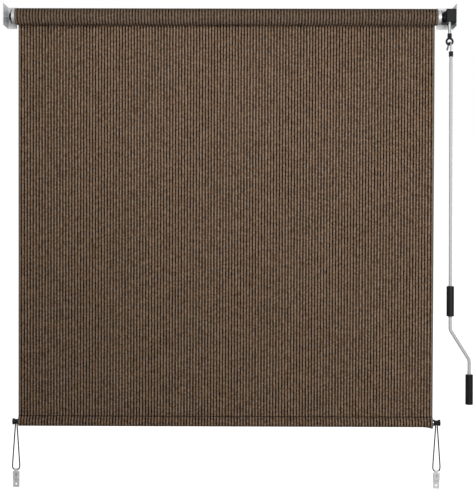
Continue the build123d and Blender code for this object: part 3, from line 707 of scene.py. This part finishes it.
# Tie-down clips
# A stamped strip of galvanised steel, folded over the cord, with a slotted tongue and a screw hole in its
# long back. Its zinc is lighter and finer than the brackets'.
clip_crystal = 0.004
clip_tones = "#D8D9DA", "#EEEFF0"
clip_roughness = 0.4, 0.52
clip_steel = spangled_zinc("stamped_galvanised_clip", clip_crystal, clip_tones, clip_roughness)
coat_nodes(clip_steel, "tie_clip_left", "tie_clip_right")


# Elastic tie-down cords
# Shock cord of rubber strands in a braided black sleeve. Each is one piece, looped from the cap's groove
# through the fold of its clip and back, and the clip's weight pulls it straight.
cord_diameter = 0.0042
cord_middles = ("left", -0.706), ("right", 0.712)
braid_pitch = 0.0018
braid_height = 0.0003
braid_black, braid_grey = "#070708", "#1B1B1C"

# Half of the loop, as distances sideways from its middle and down from the bar
half_route = [
    (0.0024, 0.0060), (0.0108, 0.1266), (0.0122, 0.1470), (0.0116, 0.1565), (0.0084, 0.1620),
]
low_drop = 0.1623
braid, tree, shader = new_finish("braided_elastic_cord", IOR=1.5, Specular_IOR_Level=0.12, Roughness=0.75)
place = add_node(tree, "ShaderNodeTexCoord").outputs["Object"]
plaits = add_node(
    tree, "ShaderNodeTexWave", {"Vector": place, "Scale": wave_unit / braid_pitch, "Distortion": 2.0},
    bands_direction="DIAGONAL",
)
braid_tone = add_node(
    tree, "ShaderNodeMix", {0: plaits.outputs[1], 6: linear(braid_black), 7: linear(braid_grey)},
    data_type="RGBA",
)
tree.links.new(braid_tone.outputs[2], shader.inputs["Base Color"])
braid_bump = add_node(
    tree, "ShaderNodeBump", {"Height": plaits.outputs[1], "Strength": 0.5, "Distance": braid_height}
)
tree.links.new(braid_bump.outputs[0], shader.inputs["Normal"])
for side, middle_x in cord_middles:
    route = [(middle_x - spread, panel_y, bar_z - drop) for spread, drop in half_route]
    route.append((middle_x, panel_y, bar_z - low_drop))
    route += [(middle_x + spread, panel_y, bar_z - drop) for spread, drop in reversed(half_route)]
    line = bpy.data.curves.new("elastic_cord_" + side, "CURVE")
    line.dimensions = "3D"
    spline = line.splines.new("NURBS")
    spline.points.add(len(route) - 1)
    for point, spot in zip(spline.points, route):
        point.co = (*spot, 1.0)
    spline.order_u = 3
    spline.use_endpoint_u = True
    spline.resolution_u = 12
    line.bevel_depth = cord_diameter / 2
    line.bevel_resolution = 4
    line.use_fill_caps = True
    line.materials.append(braid)
    cord = bpy.data.objects.new("elastic_cord_" + side, line)
    bpy.context.scene.collection.objects.link(cord)
    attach(cord, "hem")
    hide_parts("bungee_" + side)


# Floor
# A pale studio floor about half a metre below the clips. To the camera it is white, and it keeps the soft
# shadow of the shade.
floor_z = -2.05
floor_reach = 6.0
floor_white = "#F2F2F2"
shadow_reach = 0.8
white_reach = 2.2
shadow_glow = 0.5
white_glow = 1.0
floor_mesh = bpy.data.meshes.new("floor")
corners = [(x * floor_reach, y * floor_reach) for x, y in ((-1, -1), (1, -1), (1, 1), (-1, 1))]
floor_mesh.from_pydata([(x, y, floor_z) for x, y in corners], [], [(0, 1, 2, 3)])
floor = bpy.data.objects.new("floor", floor_mesh)
bpy.context.scene.collection.objects.link(floor)
paper, tree, shader = new_finish(
    "white_paper_floor", Base_Color=linear(floor_white), Roughness=1.0, Specular_IOR_Level=0.0,
    Emission_Color=(1.0, 1.0, 1.0, 1.0),
)
seen = add_node(tree, "ShaderNodeLightPath").outputs["Is Camera Ray"]
place = add_node(tree, "ShaderNodeTexCoord").outputs["Object"]
from_shade = add_node(
    tree, "ShaderNodeVectorMath", {0: place, 1: (0.0, 0.0, floor_z)}, operation="DISTANCE"
)
whitening = add_node(
    tree, "ShaderNodeMapRange",
    {"Value": from_shade.outputs["Value"], "From Min": shadow_reach, "From Max": white_reach,
     "To Min": shadow_glow, "To Max": white_glow},
    interpolation_type="SMOOTHSTEP",
)
lift_white = add_node(tree, "ShaderNodeMath", {0: seen, 1: whitening.outputs[0]}, operation="MULTIPLY")
tree.links.new(lift_white.outputs[0], shader.inputs["Emission Strength"])
floor_mesh.materials.append(paper)


# Studio light
# A soft white surround that is dim in front, a large key light from the right, and a small one above the left
# half.
front_end, back_start = -0.3, 0.4
front_glow, back_glow = 0.22, 1.15
overhead_height, overhead_share = 0.7, 0.1
mirror_glow = 0.8
scene = bpy.context.scene
world = bpy.data.worlds.new("white_surround")
world.use_nodes = True
scene.world = world
tree = world.node_tree
back = tree.nodes["Background"]
toward = add_node(tree, "ShaderNodeTexCoord").outputs["Generated"]
toward_parts = add_node(tree, "ShaderNodeSeparateXYZ", {0: toward})
behind = add_node(
    tree, "ShaderNodeMapRange",
    {"Value": toward_parts.outputs[1], "From Min": front_end, "From Max": back_start,
     "To Min": front_glow, "To Max": back_glow},
    interpolation_type="SMOOTHSTEP",
)
overhead = add_node(
    tree, "ShaderNodeMapRange",
    {"Value": toward_parts.outputs[2], "From Max": overhead_height, "To Min": 1.0, "To Max": overhead_share},
)
ambient = add_node(
    tree, "ShaderNodeMath", {0: behind.outputs[0], 1: overhead.outputs[0]}, operation="MULTIPLY"
)
rays = add_node(tree, "ShaderNodeLightPath").outputs
through = add_node(
    tree, "ShaderNodeMath", {0: rays["Is Glossy Ray"], 1: rays["Is Transmission Ray"]}, operation="MAXIMUM"
)
mirrored = add_node(tree, "ShaderNodeMath", {0: through.outputs[0], 1: mirror_glow}, operation="MULTIPLY")
shown = add_node(
    tree, "ShaderNodeMath", {0: rays["Is Camera Ray"], 1: mirrored.outputs[0]}, operation="MAXIMUM"
)
surround = add_node(tree, "ShaderNodeMath", {0: ambient.outputs[0], 1: shown.outputs[0]}, operation="MAXIMUM")
back.inputs["Color"].default_value = (1.0, 1.0, 1.0, 1.0)
tree.links.new(surround.outputs[0], back.inputs["Strength"])


def add_lamp(name, place, aim, size, power):
    """A square soft box at a place, turned to its aim."""
    lamp = bpy.data.lights.new(name, "AREA")
    lamp.size = size
    lamp.energy = power
    holder = bpy.data.objects.new(name, lamp)
    holder.location = place
    holder.rotation_euler = (Vector(aim) - Vector(place)).to_track_quat("-Z", "Y").to_euler()
    holder.visible_camera = False
    scene.collection.objects.link(holder)


add_lamp("key", place=(1.15, -2.2, -0.3), aim=(0.0, 0.0, -0.7), size=1.2, power=38.0)
add_lamp("upper_left", place=(-0.4, -1.2, 0.0), aim=(-0.35, 0.0, -0.3), size=0.5, power=5.3)


# Camera
# Level with the middle of the shade, 3.6 m in front of it and a little right of its middle. It is turned by a
# quarter of a degree and rolled by a sixth of a degree.
photo_height = 490
focal_pixels = 1067
camera_place = (0.0574, -3.6158, -0.7635)
camera_roll = -0.165
camera_turn = 0.26
camera_data = bpy.data.cameras.new("camera")
camera_data.sensor_width = 36.0
camera_data.lens = focal_pixels / photo_height * camera_data.sensor_width
camera = bpy.data.objects.new("camera", camera_data)
camera.location = camera_place
camera.rotation_euler = (radians(90.0), radians(camera_roll), radians(camera_turn))
scene.collection.objects.link(camera)
scene.camera = camera
scene.view_settings.view_transform = "Standard"
